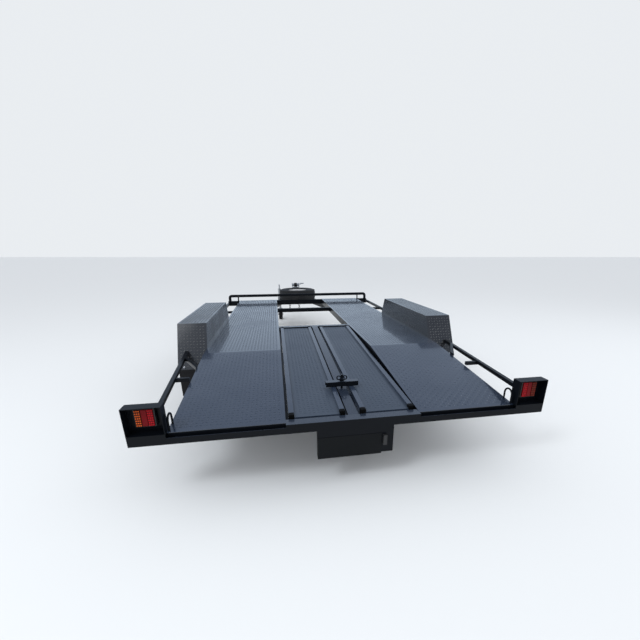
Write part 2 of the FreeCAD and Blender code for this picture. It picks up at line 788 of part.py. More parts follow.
def drawbar():
    start = f"({REAR} + drawbar_start)"
    nose = f"({REAR} + drawbar_nose)"
    low = f"({FRAME_LOW} - drawbar_depth)"
    points = [
        (leg_inner(start), start),
        (f"{leg_inner(start)} + drawbar_leg", start),
        (f"{leg_inner(nose)} + drawbar_leg", nose),
        (leg_inner(nose), nose),
    ]
    right = profile("drawbar_leg_right", "XY_Plane", points, low, FRAME_LOW)
    left = mirrored("drawbar_leg_left", right)
    plate_start = f"({nose} - nose_plate_length)"
    top = box("nose_plate", ("-nose_plate_half", "nose_plate_half"), (plate_start, nose),
              (FRAME_LOW, f"{FRAME_LOW} + nose_plate_gauge"))
    end = box("nose_end", ("-drawbar_inner_nose - drawbar_leg", "drawbar_inner_nose + drawbar_leg"),
              (f"{nose} - 6", f"{nose}"), (low, FRAME_LOW))
    brace_place = f"({REAR} + winch_place)"
    brace = box("drawbar_brace", (f"-{leg_inner(brace_place)} - 4", f"{leg_inner(brace_place)} + 4"),
                (f"{brace_place} - 40", f"{brace_place} + 40"), (f"{FRAME_LOW} - 60", FRAME_LOW))
    return node("drawbar", fuse("drawbar", [right, left, top, end, brace]))


def coupling():
    """Pressed ball coupling: a box body, and a head with the ball's socket under it."""
    base = f"({FRAME_LOW} + nose_plate_gauge)"
    top = f"({base} + coupling_height)"
    start = f"({BALL} - coupling_length)"
    body = box("coupling_body", ("-coupling_half", "coupling_half"), (start, BALL), (base, top))
    hollow = box("coupling_hollow", ("-coupling_half + coupling_wall", "coupling_half - coupling_wall"),
                 (f"{start} - 1", f"{BALL} - 60"), (f"{base} - 1", f"{top} - coupling_wall"))
    head_low = f"({top} - head_height)"
    head = rod("coupling_head", "Z", ("0", BALL, head_low), "socket_outer", f"{top} - {head_low}")
    crown = rod("coupling_crown", "Z", ("0", BALL, top), "socket_outer - 8", "crown_rise")
    ball_level = f"({head_low} + socket_depth)"
    bore = rod("coupling_bore", "Z", ("0", BALL, f"{head_low} - 1"), "ball_radius + ball_clearance",
               f"{ball_level} - {head_low} + 1")
    dome = doc.addObject("Part::Sphere", "coupling_dome")
    bind(dome, Radius="ball_radius + ball_clearance", Base_y=BALL, Base_z=ball_level)
    solid = fuse("coupling_solid", [body, head, crown])
    tools = fuse("coupling_tools", [hollow, bore, dome])
    node("coupling", cut("coupling", solid, tools))
    lever_base = f"({top} + swivel_gap)"
    back = f"({BALL} - lever_length)"
    arm = box("lever_arm", ("-lever_half", "lever_half"), (back, f"{BALL} - socket_outer + 2"),
              (lever_base, f"{lever_base} + lever_gauge"))
    grip = box("lever_grip", ("-grip_half", "grip_half"), (f"{back} + 6 - grip_length", f"{back} + 6"),
               (f"{lever_base} + lever_gauge / 2", f"{lever_base} + 2 * lever_gauge"))
    node("coupling_lever", fuse("coupling_lever", [arm, grip]))


# ---------------------------------------------------------------- spare wheel and winch

def rim_points():
    inner = "(rim_seat - rim_gauge)"
    disc_out = "(disc_offset + disc_gauge)"
    bore = "(stub_radius + stub_clearance)"
    return [
        ("-hub_inboard", bore),
        ("hub_outboard", bore),
        ("hub_outboard", "hub_radius"),
        (disc_out, "hub_radius"),
        (disc_out, inner),
        ("rim_half", inner),
        ("rim_half", "rim_flange"),
        ("rim_half - rim_gauge", "rim_flange"),
        ("rim_half - rim_gauge", "rim_seat"),
        ("-rim_half + rim_gauge", "rim_seat"),
        ("-rim_half + rim_gauge", "rim_flange"),
        ("-rim_half", "rim_flange"),
        ("-rim_half", inner),
        ("disc_offset", inner),
        ("disc_offset", "hub_radius"),
        ("-hub_inboard", "hub_radius"),
    ]


def tyre_points():
    bead = "(rim_seat + bead_clearance)"
    toe = "(rim_half - rim_gauge - bead_clearance)"
    half = "(tyre_width / 2)"
    wall = "tyre_wall"
    depth = f"(tyre_radius - {bead})"
    right = [
        (toe, bead),
        (toe, "rim_flange + bead_clearance"),
        (half, f"{bead} + {depth} * 0.45"),
        (half, f"{bead} + {depth} * 0.6"),
        (f"{half} - 7", f"tyre_radius - {depth} * 0.16"),
        (f"{half} - 20", "tyre_radius - 5"),
        (f"{half} - 45", "tyre_radius"),
    ]
    back = [
        (f"{half} - 30", f"tyre_radius - {wall} - 6"),
        (f"{half} - 9 - {wall}", f"tyre_radius - {depth} * 0.2 - {wall}"),
        (f"{half} - {wall}", f"{bead} + {depth} * 0.55"),
        (f"{half} - {wall}", f"{bead} + {depth} * 0.45"),
        (f"{toe} - {wall}", f"{bead} + 14"),
        (f"{toe} - {wall}", bead),
    ]
    outside = right + [(f"-({x})", r) for x, r in reversed(right)]
    # Outside from the right bead over the tread to the left bead, then back inside.
    return outside + [(f"-({x})", r) for x, r in reversed(back)] + back


def spare_wheel():
    place = f"({REAR} + spare_place)"
    low = FRAME_LOW
    bars = []
    for index, sign in enumerate((-1, 1)):
        spot = f"({place} + {sign} * carrier_spread)"
        reach = f"({leg_inner(spot)} + drawbar_leg / 2)"
        bars.append(box(f"carrier_bar_{index}", (f"-{reach}", reach),
                        (f"{spot} - carrier_width / 2", f"{spot} + carrier_width / 2"),
                        (low, f"{low} + carrier_bar")))
    strap = box("carrier_strap", ("-40", "40"), (f"{place} - carrier_spread", f"{place} + carrier_spread"),
                (low, f"{low} + carrier_bar"))
    mid = f"({low} + carrier_bar + tyre_width / 2)"
    # The rim lies outer face up, and its hub part rests on the strap's pad.
    pad = rod("carrier_pad", "Z", ("0", place, f"{low} + carrier_bar"), "hub_radius",
              f"{mid} - hub_inboard - {low} - carrier_bar")
    stud = rod("carrier_stud", "Z", ("0", place, f"{low} + carrier_bar"), "stud_radius",
               f"{mid} + hub_outboard + 26 - {low} - carrier_bar")
    node("spare_carrier", fuse("spare_carrier", bars + [strap, pad, stud]))
    upright = ((0, 1, 0), -90)
    node("spare_rim", turning("spare_rim", rim_points(), ("0", place, mid), upright))
    node("spare_tyre", turning("spare_tyre", tyre_points(), ("0", place, mid), upright))


def winch():
    """A folded post on the drawbar brace, and a hand winch on top of it."""
    place = f"({REAR} + winch_place)"
    low = FRAME_LOW
    high = f"({low} + winch_height)"
    wall = "winch_post_wall"
    outer = box("post_outer", ("-winch_post_half", "winch_post_half"),
                (f"{place} - winch_post_depth", f"{place} + winch_post_depth"), (low, high))
    inner = box("post_inner", (f"-winch_post_half + {wall}", f"winch_post_half - {wall}"),
                (f"{place} - winch_post_depth + {wall}", f"{place} + winch_post_depth + 1"),
                (f"{low} - 1", f"{high} - {wall}"))
    node("winch_post", cut("winch_post", outer, inner))
    along = (f"{place} - winch_back", f"{place} + winch_front")
    cheeks = []
    for side, sign in SIDES.items():
        cheeks.append(box(f"winch_cheek_{side}", across(sign, "winch_half - winch_gauge", "winch_half"),
                          along, (high, f"{high} + cheek_height")))
    base = box("winch_base", ("-winch_half", "winch_half"), along, (high, f"{high} + winch_gauge"))
    drum = rod("drum_bar", "X", ("-winch_half", place, f"{high} + drum_rise"), "winch_drum", "2 * winch_half")
    axis = f"({place} - shaft_place)"
    level = f"({high} + shaft_rise)"
    shaft = rod("winch_shaft", "X", ("winch_half - winch_gauge", axis, level), "shaft_radius", "shaft_reach")
    face = "(winch_half - winch_gauge + shaft_reach)"
    half = "(winch_crank / 2)"
    crank = box("crank_strip", (f"{face} - winch_crank_gauge", face),
                (f"{axis} - {half}", f"{axis} - {half} + winch_crank_length"),
                (f"{level} - {half}", f"{level} + {half}"))
    handle = rod("handle_bar", "X", (f"{face} - winch_crank_gauge / 2",
                                     f"{axis} - winch_crank + winch_crank_length", level),
                 "winch_handle", "winch_handle_length")
    node("winch", fuse("winch", cheeks + [base, drum, shaft, crank, handle]))


# ---------------------------------------------------------------- running gear

def wheel_places():
    for name, sign in (("rear", -1), ("front", 1)):
        yield name, f"({REAR} + axle_place + {sign} * axle_spacing / 2)"


def wheels():
    for end, place in wheel_places():
        for side, sign in SIDES.items():
            spot = "wheel_track" if sign > 0 else "-wheel_track"
            face_out = ((0, 0, 1), 0 if sign > 0 else 180)
            centre = (spot, place, "tyre_radius")
            name = f"{end}_{side}"
            node(f"rim_{name}", turning(f"rim_{name}", rim_points(), centre, face_out))
            node(f"tyre_{name}", turning(f"tyre_{name}", tyre_points(), centre, face_out))


def axles():
    for end, place in wheel_places():
        half = "(axle_beam / 2)"
        beam = box(f"axle_beam_{end}", ("-axle_half", "axle_half"),
                   (f"{place} - {half}", f"{place} + {half}"),
                   (f"tyre_radius - {half}", f"tyre_radius + {half}"))
        reach = "(wheel_track + hub_outboard + hub_cap)"
        stub = rod(f"axle_stub_{end}", "X", (f"-{reach}", place, "tyre_radius"), "stub_radius",
                   f"2 * {reach}")
        caps = []
        for side, sign in SIDES.items():
            low, _ = across(sign, f"{reach} - hub_cap + 1", f"{reach} + 1")
            caps.append(rod(f"axle_cap_{end}_{side}", "X", (low, place, "tyre_radius"),
                            "hub_radius - hub_cap", "hub_cap"))
        node(f"axle_{end}", fuse(f"axle_{end}", [beam, stub] + caps))


def springs():
    """Leaf springs on the axle beams, with the hangers that carry them."""
    base = "(tyre_radius + axle_beam / 2)"
    high = f"({base} + spring_camber)"
    low_x = f"({HALF} - rail_width + spring_inset)"
    high_x = f"({low_x} + spring_width)"
    pieces = []
    hangers = []
    for end, place in wheel_places():
        points = [
            (f"{place} - spring_half", high),
            (f"{place} - spring_half / 2", f"{base} + spring_camber * 0.3"),
            (f"{place} - 40", base),
            (f"{place} + 40", base),
            (f"{place} + spring_half / 2", f"{base} + spring_camber * 0.3"),
            (f"{place} + spring_half", high),
            (f"{place} + spring_half", f"{high} + spring_gauge"),
            (f"{place} + spring_half / 2", f"{base} + spring_camber * 0.3 + spring_gauge"),
            (f"{place} + 40", f"{base} + spring_gauge"),
            (f"{place} - 40", f"{base} + spring_gauge"),
            (f"{place} - spring_half / 2", f"{base} + spring_camber * 0.3 + spring_gauge"),
            (f"{place} - spring_half", f"{high} + spring_gauge"),
        ]
        pieces.append(profile(f"spring_{end}", "YZ_Plane", points, low_x, high_x))
    centre = f"({REAR} + axle_place)"
    spots = (f"({centre} - axle_spacing / 2 - spring_half)", centre,
             f"({centre} + axle_spacing / 2 + spring_half)")
    for index, spot in enumerate(spots):
        wide = "hanger_width * 1.6" if index == 1 else "hanger_width"
        level = f"({high} + spring_gauge)"
        hangers.append(box(f"hanger_{index}", (low_x, high_x),
                           (f"{spot} - {wide} / 2", f"{spot} + {wide} / 2"), (level, FRAME_LOW)))
    right = group("springs_right", pieces + hangers)
    node("springs_right", right)
    node("springs_left", mirrored("springs_left", right))


# ---------------------------------------------------------------- jockey wheel

def jockey():
    place = f"({REAR} + jockey_place)"
    spot = "-jockey_reach"
    top = f"({FRAME_LOW} + jockey_top)"
    seat = "(2 * jockey_wheel_radius + jockey_crown_gap + fork_crown_gauge + inner_foot + swivel_gap)"
    # The sleeve starts a full travel above the fork, so the crank can lift the wheel.
    low = f"({seat} + jockey_travel)"
    tube = rod("jockey_sleeve", "Z", (spot, place, low), "jockey_tube", f"{top} - {low}")
    bore = rod("jockey_sleeve_bore", "Z", (spot, place, f"{low} - 1"), "jockey_inner_tube + jockey_gap",
               f"{top} - {low} - 5")
    node("jockey_tube", cut("jockey_tube", tube, bore))
    # Split clamp on the outside of the left drawbar leg.
    face = f"(-{leg_inner(place)} - drawbar_leg)"
    mid = f"({FRAME_LOW} - drawbar_depth / 2)"
    block = box("clamp_block", (f"{spot} - jockey_tube - 8", f"{face} + 1"),
                (f"{place} - 30", f"{place} + 30"), (f"{mid} - 40", f"{mid} + 40"))
    hole = rod("clamp_hole", "Z", (spot, place, f"{mid} - 50"), "jockey_tube", "100")
    leg = profile("clamp_leg", "XY_Plane", [
        (f"-{leg_inner(f'{place} - 60')} - drawbar_leg", f"{place} - 60"),
        (f"-{leg_inner(f'{place} - 60')}", f"{place} - 60"),
        (f"-{leg_inner(f'{place} + 60')}", f"{place} + 60"),
        (f"-{leg_inner(f'{place} + 60')} - drawbar_leg", f"{place} + 60"),
    ], f"{mid} - 60", f"{mid} + 60")
    bolt = rod("clamp_bolt", "Y", (f"{spot} - jockey_tube - 5.5", f"{place} - 44", mid), "5", "88")
    body = cut("clamp_body", cut("clamp_cut", block, hole), leg)
    node("jockey_clamp", fuse("jockey_clamp", [body, bolt]))
    # Crank on top of the sleeve.
    hub = rod("crank_boss", "Z", (spot, place, top), "crank_hub", "crank_hub_height")
    level = f"({top} + crank_hub_height)"
    arm = box("crank_strip_jockey", (f"{spot} - crank_gauge", f"{spot} + crank_gauge"),
              (f"{place} - crank_arm", f"{place} + crank_gauge"), (level, f"{level} + crank_gauge"))
    knob = rod("crank_grip", "Z", (spot, f"{place} - crank_arm + crank_gauge", f"{level} + crank_gauge"),
               "crank_knob", "crank_knob_length")
    node("jockey_crank", fuse("jockey_crank", [hub, arm, knob]))
    # Inner tube that the crank raises, and the caster fork that turns under it.
    inner = rod("inner_tube", "Z", (spot, place, f"{seat} - inner_foot"), "jockey_inner_tube",
                "jockey_travel + jockey_engage + inner_foot")
    flange = rod("inner_flange", "Z", (spot, place, f"{seat} - inner_foot"), "jockey_tube", "6")
    node("jockey_inner_tube", fuse("jockey_inner_tube", [inner, flange]))
    wheel_y = f"({place} - jockey_trail)"
    cheek = "(jockey_wheel_half + fork_gap)"
    return place, spot, wheel_y, cheek, seat


def jockey_fork(place, spot, wheel_y, cheek, seat):
    top = f"({seat} - inner_foot - swivel_gap)"
    crown = box("fork_crown", (f"{spot} - {cheek} - fork_gauge", f"{spot} + {cheek} + fork_gauge"),
                (f"{wheel_y} - 24", f"{place} + 24"), (f"{top} - fork_crown_gauge", top))
    cheeks = []
    for side, sign in SIDES.items():
        low_x = f"{spot} + {cheek}" if sign > 0 else f"{spot} - {cheek} - fork_gauge"
        points = [
            (f"{wheel_y} - 18", "jockey_wheel_radius - 18"),
            (f"{wheel_y} + 18", "jockey_wheel_radius - 18"),
            (f"{place} + 24", f"{top} - 4"),
            (f"{wheel_y} - 24", f"{top} - 4"),
        ]
        cheeks.append(profile(f"fork_cheek_{side}", "YZ_Plane", points, low_x, f"{low_x} + fork_gauge"))
    pin = rod("fork_pin", "X", (f"{spot} - {cheek} - fork_gauge - 5", wheel_y, "jockey_wheel_radius"),
              "jockey_bore - stub_clearance", f"2 * ({cheek} + fork_gauge + 5)")
    node("jockey_fork", fuse("jockey_fork", [crown, pin] + cheeks))
    wheel = turning("jockey_wheel", [
        ("-jockey_wheel_half - 3", "jockey_bore"),
        ("jockey_wheel_half + 3", "jockey_bore"),
        ("jockey_wheel_half + 3", "22"),
        ("10", "26"),
        ("10", "jockey_wheel_radius - 34"),
        ("jockey_wheel_half - 6", "jockey_wheel_radius - 30"),
        ("jockey_wheel_half", "jockey_wheel_radius - 12"),
        ("jockey_wheel_half - 12", "jockey_wheel_radius"),
        ("-jockey_wheel_half + 12", "jockey_wheel_radius"),
        ("-jockey_wheel_half", "jockey_wheel_radius - 12"),
        ("-jockey_wheel_half + 6", "jockey_wheel_radius - 30"),
        ("-10", "jockey_wheel_radius - 34"),
        ("-10", "26"),
        ("-jockey_wheel_half - 3", "22"),
    ], (spot, wheel_y, "jockey_wheel_radius"), ((0, 0, 1), 0))
    node("jockey_wheel", wheel)


chassis_rails()
cross_members()
rear_beam()
front_beam()
deck_plates()
light_boxes()
number_plate()
tie_down_loops()
side_rails()
front_side_rails()
headboard()
mudguards()
ramps()
centre_bearer()
ramp_clamp()
drawbar()
coupling()
spare_wheel()
winch()
wheels()
axles()
springs()
jockey_fork(*jockey())

doc.recompute()

for item in doc.Objects:
    if {"Invalid", "Error"} & set(item.State):
        raise RuntimeError(f"{item.Name} did not recompute: {item.State}")
for name, item in NODES.items():
    if item.Shape.isNull() or not item.Shape.isValid():
        raise RuntimeError(f"{name} has no valid shape")

os.makedirs("parts", exist_ok=True)
for name, item in NODES.items():
    item.Shape.exportStep(f"parts/{name}.step")
    print(f"{name}: {len(item.Shape.Solids)} solid(s), {item.Shape.Volume / 1e6:.3f} litres")
print(f"{len(NODES)} nodes")
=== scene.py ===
# %% [markdown]
# A car trailer is a steel frame with plates, lamps, wheels and a drawbar. The
# frame arrives finished from the CAD model, so this notebook adds the finishes,
# the raised pattern of the tread plate, the tyre treads, lenses, chains and nuts.

# %% Load the frame
import json
import math

import bpy
import bmesh
from mathutils import Matrix, Vector


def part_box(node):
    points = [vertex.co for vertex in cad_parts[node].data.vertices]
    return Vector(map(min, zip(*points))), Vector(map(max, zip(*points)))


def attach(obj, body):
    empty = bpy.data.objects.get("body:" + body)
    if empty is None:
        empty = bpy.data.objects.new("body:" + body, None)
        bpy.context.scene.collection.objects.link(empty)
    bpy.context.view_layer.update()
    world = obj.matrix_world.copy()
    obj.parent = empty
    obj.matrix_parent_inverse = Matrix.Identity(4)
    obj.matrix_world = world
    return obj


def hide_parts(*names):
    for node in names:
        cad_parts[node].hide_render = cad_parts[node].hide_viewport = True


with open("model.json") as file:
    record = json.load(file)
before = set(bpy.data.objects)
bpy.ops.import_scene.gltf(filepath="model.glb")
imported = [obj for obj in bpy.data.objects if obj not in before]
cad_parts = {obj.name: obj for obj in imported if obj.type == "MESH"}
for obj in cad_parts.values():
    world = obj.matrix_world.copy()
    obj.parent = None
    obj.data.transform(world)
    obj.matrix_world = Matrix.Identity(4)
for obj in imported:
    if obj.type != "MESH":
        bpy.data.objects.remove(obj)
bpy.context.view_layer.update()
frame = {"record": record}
bpy.ops.object.select_all(action="DESELECT")
BODY_OF = {node: body for body, nodes in frame["record"]["behaviour"]["bodies"].items() for node in nodes}
CHASSIS = BODY_OF["rear_beam"]

# %% [markdown]
# The camera stands behind the trailer at chest height and looks slightly down
# and to the right. A wide lens gives the strong perspective along the deck.

# %% Camera
REAR_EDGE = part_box("deck_left")[0][1]
DECK_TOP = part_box("deck_left")[1][2]


def make_camera():
    data = bpy.data.cameras.new("camera")
    data.sensor_width = 36
    data.lens = 18.96
    data.shift_x = -0.0261
    data.shift_y = 0.0843
    data.clip_end = 100
    camera = bpy.data.objects.new("camera", data)
    bpy.context.collection.objects.link(camera)
    camera.location = (-0.397, REAR_EDGE - 1.655, DECK_TOP + 0.757)
    camera.rotation_euler = (math.pi / 2 - 0.3457, 0.0, -0.1755)
    bpy.context.scene.camera = camera


make_camera()

# %% [markdown]
# Dark gloss paint shows what stands around it, so reflections see a blue-grey
# sky, while soft neutral light falls on everything. The floor is pale.

# %% Light and floor
SKY_TOP = (0.36, 0.43, 0.55, 1)
SKY_LOW = (0.60, 0.72, 0.86, 1)
SOFT = (0.93, 0.95, 0.98, 1)


def make_world():
    world = bpy.data.worlds.new("studio")
    bpy.context.scene.world = world
    world.use_nodes = True
    tree = world.node_tree
    tree.nodes.clear()
    place = tree.nodes.new("ShaderNodeTexCoord")
    split = tree.nodes.new("ShaderNodeSeparateXYZ")
    ramp = tree.nodes.new("ShaderNodeValToRGB")
    ramp.color_ramp.elements[0].position = 0.02
    ramp.color_ramp.elements[0].color = SKY_LOW
    ramp.color_ramp.elements[1].position = 0.5
    ramp.color_ramp.elements[1].color = SKY_TOP
    mirrored = tree.nodes.new("ShaderNodeBackground")
    soft = tree.nodes.new("ShaderNodeBackground")
    soft.inputs["Color"].default_value = SOFT
    shown = tree.nodes.new("ShaderNodeBackground")
    shown.inputs["Color"].default_value = (0.82, 0.85, 0.88, 1)
    rays = tree.nodes.new("ShaderNodeLightPath")
    glossy = tree.nodes.new("ShaderNodeMixShader")
    seen = tree.nodes.new("ShaderNodeMixShader")
    out = tree.nodes.new("ShaderNodeOutputWorld")
    tree.links.new(place.outputs["Generated"], split.inputs[0])
    tree.links.new(split.outputs["Z"], ramp.inputs["Fac"])
    tree.links.new(ramp.outputs["Color"], mirrored.inputs["Color"])
    tree.links.new(rays.outputs["Is Glossy Ray"], glossy.inputs["Fac"])
    tree.links.new(soft.outputs[0], glossy.inputs[1])
    tree.links.new(mirrored.outputs[0], glossy.inputs[2])
    tree.links.new(rays.outputs["Is Camera Ray"], seen.inputs["Fac"])
    tree.links.new(glossy.outputs[0], seen.inputs[1])
    tree.links.new(shown.outputs[0], seen.inputs[2])
    tree.links.new(seen.outputs[0], out.inputs["Surface"])


def make_lamp(name, place, aim, size, watts):
    data = bpy.data.lights.new(name, "AREA")
    data.size = size
    data.energy = watts
    data.color = (0.92, 0.96, 1.0)
    lamp = bpy.data.objects.new(name, data)
    bpy.context.collection.objects.link(lamp)
    lamp.location = place
    lamp.rotation_euler = (Vector(aim) - Vector(place)).to_track_quat("-Z", "Y").to_euler()


def make_floor():
    bpy.ops.mesh.primitive_plane_add(size=400, location=(0, 0, 0))
    floor = bpy.context.object
    floor.name = "studio_floor"
    finish = bpy.data.materials.new("studio_floor")
    finish.use_nodes = True
    shader = finish.node_tree.nodes["Principled BSDF"]
    shader.inputs["Base Color"].default_value = (0.72, 0.735, 0.745, 1)
    shader.inputs["Roughness"].default_value = 0.8
    shader.inputs["Emission Color"].default_value = (0.93, 0.95, 0.96, 1)
    shader.inputs["Emission Strength"].default_value = 0.05
    floor.data.materials.append(finish)


make_world()
make_lamp("key", (-4.5, -6.0, 6.0), (0, -1.0, 0.4), 2.0, 190)
make_lamp("fill", (5.5, -3.0, 5.0), (0, -1.0, 0.4), 5.0, 90)
make_floor()
scene = bpy.context.scene
scene.view_settings.view_transform = "Standard"

# %% [markdown]
# Every painted piece has faint unevenness, and dust that lies in random patches.
# Both are one shader group, placed in each material with its own values.

# %% Wear group


def make_wear_group():
    """Colour variation, dust in random patches and a fine surface ripple."""
    tree = bpy.data.node_groups.new("paint_wear", "ShaderNodeTree")
    face = tree.interface
    for name, kind in (("Color", "NodeSocketColor"), ("Dust Color", "NodeSocketColor"),
                       ("Dust", "NodeSocketFloat"), ("Scale", "NodeSocketFloat"),
                       ("Roughness", "NodeSocketFloat")):
        face.new_socket(name, in_out="INPUT", socket_type=kind)
    for name, kind in (("Color", "NodeSocketColor"), ("Roughness", "NodeSocketFloat"),
                       ("Height", "NodeSocketFloat")):
        face.new_socket(name, in_out="OUTPUT", socket_type=kind)
    nodes, links = tree.nodes, tree.links
    given = nodes.new("NodeGroupInput")
    out = nodes.new("NodeGroupOutput")
    place = nodes.new("ShaderNodeTexCoord")
    broad = nodes.new("ShaderNodeTexNoise")
    broad.inputs["Detail"].default_value = 6
    fine = nodes.new("ShaderNodeTexNoise")
    fine.inputs["Scale"].default_value = 220
    links.new(place.outputs["Object"], broad.inputs["Vector"])
    links.new(place.outputs["Object"], fine.inputs["Vector"])
    links.new(given.outputs["Scale"], broad.inputs["Scale"])
    mask = nodes.new("ShaderNodeMapRange")
    mask.inputs["From Min"].default_value = 0.42
    mask.inputs["From Max"].default_value = 0.75
    links.new(broad.outputs["Fac"], mask.inputs["Value"])
    amount = nodes.new("ShaderNodeMath")
    amount.operation = "MULTIPLY"
    links.new(mask.outputs["Result"], amount.inputs[0])
    links.new(given.outputs["Dust"], amount.inputs[1])
    blend = nodes.new("ShaderNodeMix")
    blend.data_type = "RGBA"
    links.new(amount.outputs[0], blend.inputs["Factor"])
    links.new(given.outputs["Color"], blend.inputs["A"])
    links.new(given.outputs["Dust Color"], blend.inputs["B"])
    rough = nodes.new("ShaderNodeMath")
    rough.operation = "MULTIPLY_ADD"
    rough.inputs[1].default_value = 0.35
    links.new(amount.outputs[0], rough.inputs[0])
    links.new(given.outputs["Roughness"], rough.inputs[2])
    links.new(blend.outputs["Result"], out.inputs["Color"])
    links.new(rough.outputs[0], out.inputs["Roughness"])
    links.new(fine.outputs["Fac"], out.inputs["Height"])
    return tree


WEAR = make_wear_group()


def finish_of(name, color, dust_color, dust, scale, rough, metal=0.0, coat=0.0, bump=0.05, shine=0.5):
    """A material whose colour, roughness and ripple come from the wear group."""
    made = bpy.data.materials.new(name)
    made.use_nodes = True
    tree = made.node_tree
    shader = tree.nodes["Principled BSDF"]
    wear = tree.nodes.new("ShaderNodeGroup")
    wear.node_tree = WEAR
    wear.inputs["Color"].default_value = (*color, 1)
    wear.inputs["Dust Color"].default_value = (*dust_color, 1)
    wear.inputs["Dust"].default_value = dust
    wear.inputs["Scale"].default_value = scale
    wear.inputs["Roughness"].default_value = rough
    ripple = tree.nodes.new("ShaderNodeBump")
    ripple.inputs["Strength"].default_value = bump
    ripple.inputs["Distance"].default_value = 0.001
    tree.links.new(wear.outputs["Color"], shader.inputs["Base Color"])
    tree.links.new(wear.outputs["Roughness"], shader.inputs["Roughness"])
    tree.links.new(wear.outputs["Height"], ripple.inputs["Height"])
    tree.links.new(ripple.outputs["Normal"], shader.inputs["Normal"])
    shader.inputs["Metallic"].default_value = metal
    shader.inputs["Specular IOR Level"].default_value = shine
    shader.inputs["Coat Weight"].default_value = coat
    shader.inputs["Coat Roughness"].default_value = 0.06
    return made


FINISH = {
    "dark_paint": finish_of("dark_paint", (0.003, 0.004, 0.006), (0.008, 0.010, 0.014), 0.25, 3, 0.28, shine=0.12),
    "tread_plate": finish_of("tread_plate", (0.020, 0.030, 0.052), (0.045, 0.06, 0.09), 0.5, 2.2, 0.17, coat=0.7),
    "tyre_rubber": finish_of("tyre_rubber", (0.012, 0.012, 0.013), (0.05, 0.047, 0.045), 0.35, 9, 0.65, bump=0.3),
    "rim_paint": finish_of("rim_paint", (0.72, 0.73, 0.74), (0.45, 0.42, 0.38), 0.3, 12, 0.32, coat=0.3),
    "flap_rubber": finish_of("flap_rubber", (0.007, 0.007, 0.008), (0.02, 0.02, 0.02), 0.4, 8, 0.6, bump=0.25, shine=0.2),
    "lamp_lens": finish_of("lamp_case_red", (0.12, 0.005, 0.006), (0.2, 0.01, 0.01), 0.2, 30, 0.25),
    "lamp_case": finish_of("lamp_case", (0.012, 0.012, 0.013), (0.05, 0.05, 0.05), 0.3, 20, 0.45),
    "blank_plate": finish_of("blank_plate", (0.003, 0.004, 0.005), (0.008, 0.009, 0.010), 0.3, 6, 0.35, shine=0.12),
    "zinc": finish_of("zinc", (0.46, 0.47, 0.48), (0.25, 0.25, 0.25), 0.35, 25, 0.38, metal=0.9, bump=0.12),
}
SLOT_OF = {part["node"]: part["material_slot"] for part in frame["record"]["subparts"]}
for node, slot in SLOT_OF.items():
    item = bpy.data.objects[node]
    item.data.materials.clear()
    item.data.materials.append(FINISH[slot])
print(len(SLOT_OF), "nodes finished")

# Faces of the frame that look up get a lighter, glossier copy of the dark paint: the lighter colour is painted light
# on the tops, and the clean gloss shows the sky.
FINISH["painted_lit_top"] = finish_of("painted_lit_top", (0.020, 0.028, 0.045), (0.045, 0.055, 0.08), 0.5, 3, 0.2, coat=0.4)
for node in ("rear_beam", "centre_bearer", "cross_members", "ramp_clamp"):
    item = bpy.data.objects[node]
    item.data.materials.append(FINISH["painted_lit_top"])
    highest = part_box(node)[1][2]
    for face in item.data.polygons:
        low_down = node == "cross_members" and face.center.z < highest - 0.002
        if face.normal.z > 0.7 and not low_down:
            face.material_index = 1

# %% [markdown]
# Tread plate has short raised bars that lie across each other in turn. One bar
# is modelled by hand, a second one crosses it, and Array modifiers lay the pair
# over each plate. The field is then set on its plate by one matrix.

# %% Tread-plate bars
PITCH = 0.0258
BAR_LENGTH = 0.0205
BAR_WIDTH = 0.0058
BAR_HEIGHT = 0.0010


def deselect():
    if bpy.context.mode != "OBJECT":
        bpy.ops.object.mode_set(mode="OBJECT")
    bpy.ops.object.select_all(action="DESELECT")


def settle(piece, name, body, slot):
    """Apply the place, name the piece, and give it its body and finish."""
    deselect()
    piece.select_set(True)
    bpy.context.view_layer.objects.active = piece
    bpy.ops.object.transform_apply(location=True, rotation=True, scale=True)
    piece.name = name
    piece.data.materials.clear()
    piece.data.materials.append(FINISH[slot])
    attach(piece, body)
    deselect()
    return piece


def make_bar(x, y, turn):
    """One raised bar: a block with a narrow crest."""
    deselect()
    bpy.ops.mesh.primitive_cube_add(size=1, location=(x, y, 0))
    bar = bpy.context.object
    bar.dimensions = (BAR_LENGTH, BAR_WIDTH, 2 * BAR_HEIGHT)
    bar.rotation_euler = (0, 0, turn)
    bpy.ops.object.transform_apply(location=False, rotation=False, scale=True)
    bpy.ops.object.mode_set(mode="EDIT")
    mesh = bmesh.from_edit_mesh(bar.data)
    for face in mesh.faces:
        face.select = face.normal.z > 0.9
    bmesh.update_edit_mesh(bar.data)
    bpy.ops.transform.resize(value=(0.72, 0.3, 1))
    mesh = bmesh.from_edit_mesh(bar.data)
    for face in mesh.faces:
        face.select = face.normal.z < -0.9
    bmesh.update_edit_mesh(bar.data)
    bpy.ops.mesh.delete(type="FACE")
    bpy.ops.object.mode_set(mode="OBJECT")
    return bar


def array(piece, way, count, step):
    layer = piece.modifiers.new("rows", "ARRAY")
    layer.use_relative_offset = False
    layer.use_constant_offset = True
    layer.constant_offset_displace = tuple(step * axis for axis in way)
    layer.count = count
    bpy.context.view_layer.objects.active = piece
    bpy.ops.object.modifier_apply(modifier=layer.name)


